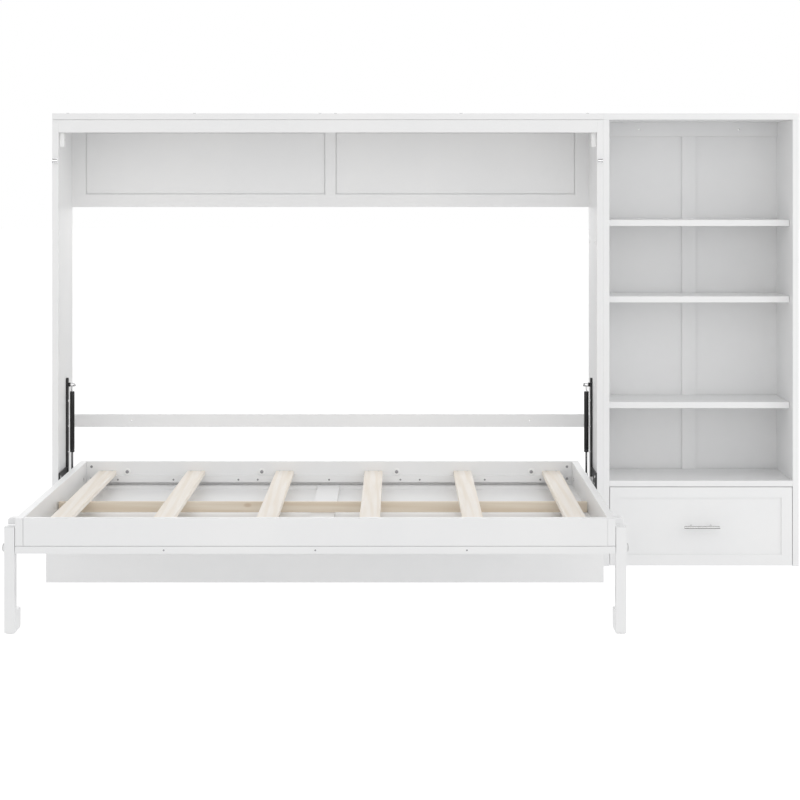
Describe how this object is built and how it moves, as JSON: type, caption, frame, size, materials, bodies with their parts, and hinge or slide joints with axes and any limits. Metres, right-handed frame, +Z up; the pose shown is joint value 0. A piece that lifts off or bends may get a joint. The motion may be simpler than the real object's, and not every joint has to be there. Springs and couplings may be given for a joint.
{
  "type": "murphy wall bed",
  "caption": "Side-folding wall bed in a white cabinet, shown folded out on swing legs, with slatted base, gas springs and an open shelf tower over a drawer.",
  "frame": {"origin": "centre of the whole object's footprint (bed folded out), at floor level", "axes": "+X to the shelf unit's side (right when facing the cabinet), +Y back towards the wall, +Z up"},
  "size_m": [2.881, 1.577, 1.7515],
  "materials": {
    "white_board": "satin white lacquered board",
    "pine": "bare planed pine",
    "black_steel": "black powder coat",
    "dark_rod": "black nitrided rod",
    "zinc_steel": "bright zinc plate",
    "chrome": "polished chrome",
    "brushed_nickel": "brushed nickel",
    "white_plastic": "matt",
    "foot_rubber": "matt"
  },
  "bodies": {
    "cabinet": {"bed_side_left": "white_board", "bed_side_right": "white_board", "cabinet_top": "white_board", "top_fascia": "white_board", "upper_back_frame": "white_board", "upper_back_panels": "white_board", "back_stretcher": "white_board", "stop_blocks": "white_board", "pivot_bracket_left": "black_steel", "pivot_bracket_right": "black_steel", "pivot_pins": "zinc_steel", "gas_upper_studs": "zinc_steel", "bracket_screws": "zinc_steel", "lock_barrels": "chrome", "cabinet_screws": "zinc_steel", "shelf_side_left": "white_board", "shelf_side_right": "white_board", "shelf_top": "white_board", "shelf_back_panels": "white_board", "shelf_back_batten": "white_board", "shelf_back_cleat": "white_board", "adjustable_shelves": "white_board", "drawer_deck": "white_board", "shelf_pins": "zinc_steel", "drawer_runners": "zinc_steel", "floor_glides": "white_plastic"},
    "bed": {"rail_front": "white_board", "rail_back": "white_board", "rail_left": "white_board", "rail_right": "white_board", "door_frame": "white_board", "door_panels": "white_board", "slat_ledgers": "white_board", "centre_beam": "pine", "slats": "pine", "slat_screws": "zinc_steel", "rail_fasteners": "zinc_steel", "rail_washers": "white_plastic", "support_board": "white_board", "support_angles": "zinc_steel", "hinge_plates": "zinc_steel", "pivot_bushes": "zinc_steel", "gas_lower_studs": "zinc_steel", "leg_stop_blocks": "white_board", "leg_pivot_bolts": "zinc_steel"},
    "leg_left": {"leg_left": "white_board", "leg_pad_left": "foot_rubber"},
    "leg_right": {"leg_right": "white_board", "leg_pad_right": "foot_rubber"},
    "gas_cylinder_left": {"gas_cylinder_left": "black_steel"},
    "gas_cylinder_right": {"gas_cylinder_right": "black_steel"},
    "gas_rod_left": {"gas_rod_left": "dark_rod"},
    "gas_rod_right": {"gas_rod_right": "dark_rod"},
    "lock_pin_left": {"lock_pin_left": "chrome"},
    "lock_pin_right": {"lock_pin_right": "chrome"},
    "drawer": {"drawer_front": "white_board", "drawer_box": "white_board", "drawer_bottom": "white_board", "drawer_handle": "brushed_nickel", "drawer_slides": "zinc_steel"}
  },
  "joints": [
    {"name": "bed_fold", "type": "hinge", "parent": "cabinet", "child": "bed", "pos_m": [-0.3775, 0.5485, 0.32], "axis": [-1, 0, 0], "range_deg": [0, 90]},
    {"name": "drawer_slide", "type": "slide", "parent": "cabinet", "child": "drawer", "axis": [0, -1, 0], "range_m": [0, 0.25]},
    {"name": "leg_left_fold", "type": "hinge", "parent": "bed", "child": "leg_left", "pos_m": [-1.3795, -0.7685, 0.331], "axis": [1, 0, 0], "range_deg": [0, 90]},
    {"name": "gas_left_swing", "type": "hinge", "parent": "cabinet", "child": "gas_cylinder_left", "pos_m": [-1.393, 0.6285, 0.685], "axis": [-1, 0, 0], "range_deg": [0, 9.6]},
    {"name": "gas_left_stroke", "type": "slide", "parent": "gas_cylinder_left", "child": "gas_rod_left", "axis": [0, 0, -1], "range_m": [0, 0.0915]},
    {"name": "lock_left_slide", "type": "slide", "parent": "cabinet", "child": "lock_pin_left", "axis": [1, 0, 0], "range_m": [0, 0.014]},
    {"name": "leg_right_fold", "type": "hinge", "parent": "bed", "child": "leg_right", "pos_m": [0.6245, -0.7685, 0.331], "axis": [1, 0, 0], "range_deg": [0, 90]},
    {"name": "gas_right_swing", "type": "hinge", "parent": "cabinet", "child": "gas_cylinder_right", "pos_m": [0.638, 0.6285, 0.685], "axis": [-1, 0, 0], "range_deg": [0, 9.6]},
    {"name": "gas_right_stroke", "type": "slide", "parent": "gas_cylinder_right", "child": "gas_rod_right", "axis": [0, 0, -1], "range_m": [0, 0.0915]},
    {"name": "lock_right_slide", "type": "slide", "parent": "cabinet", "child": "lock_pin_right", "axis": [-1, 0, 0], "range_m": [0, 0.014]}
  ],
  "couplings": [
    {"joint": "leg_left_fold", "follows": "bed_fold", "ratio": 1},
    {"joint": "gas_left_swing", "follows": "bed_fold", "ratio": 0.1063},
    {"joint": "gas_left_stroke", "follows": "bed_fold", "m_per_rad": 0.058108},
    {"joint": "leg_right_fold", "follows": "bed_fold", "ratio": 1},
    {"joint": "gas_right_swing", "follows": "bed_fold", "ratio": 0.1063},
    {"joint": "gas_right_stroke", "follows": "bed_fold", "m_per_rad": 0.058108}
  ]
}
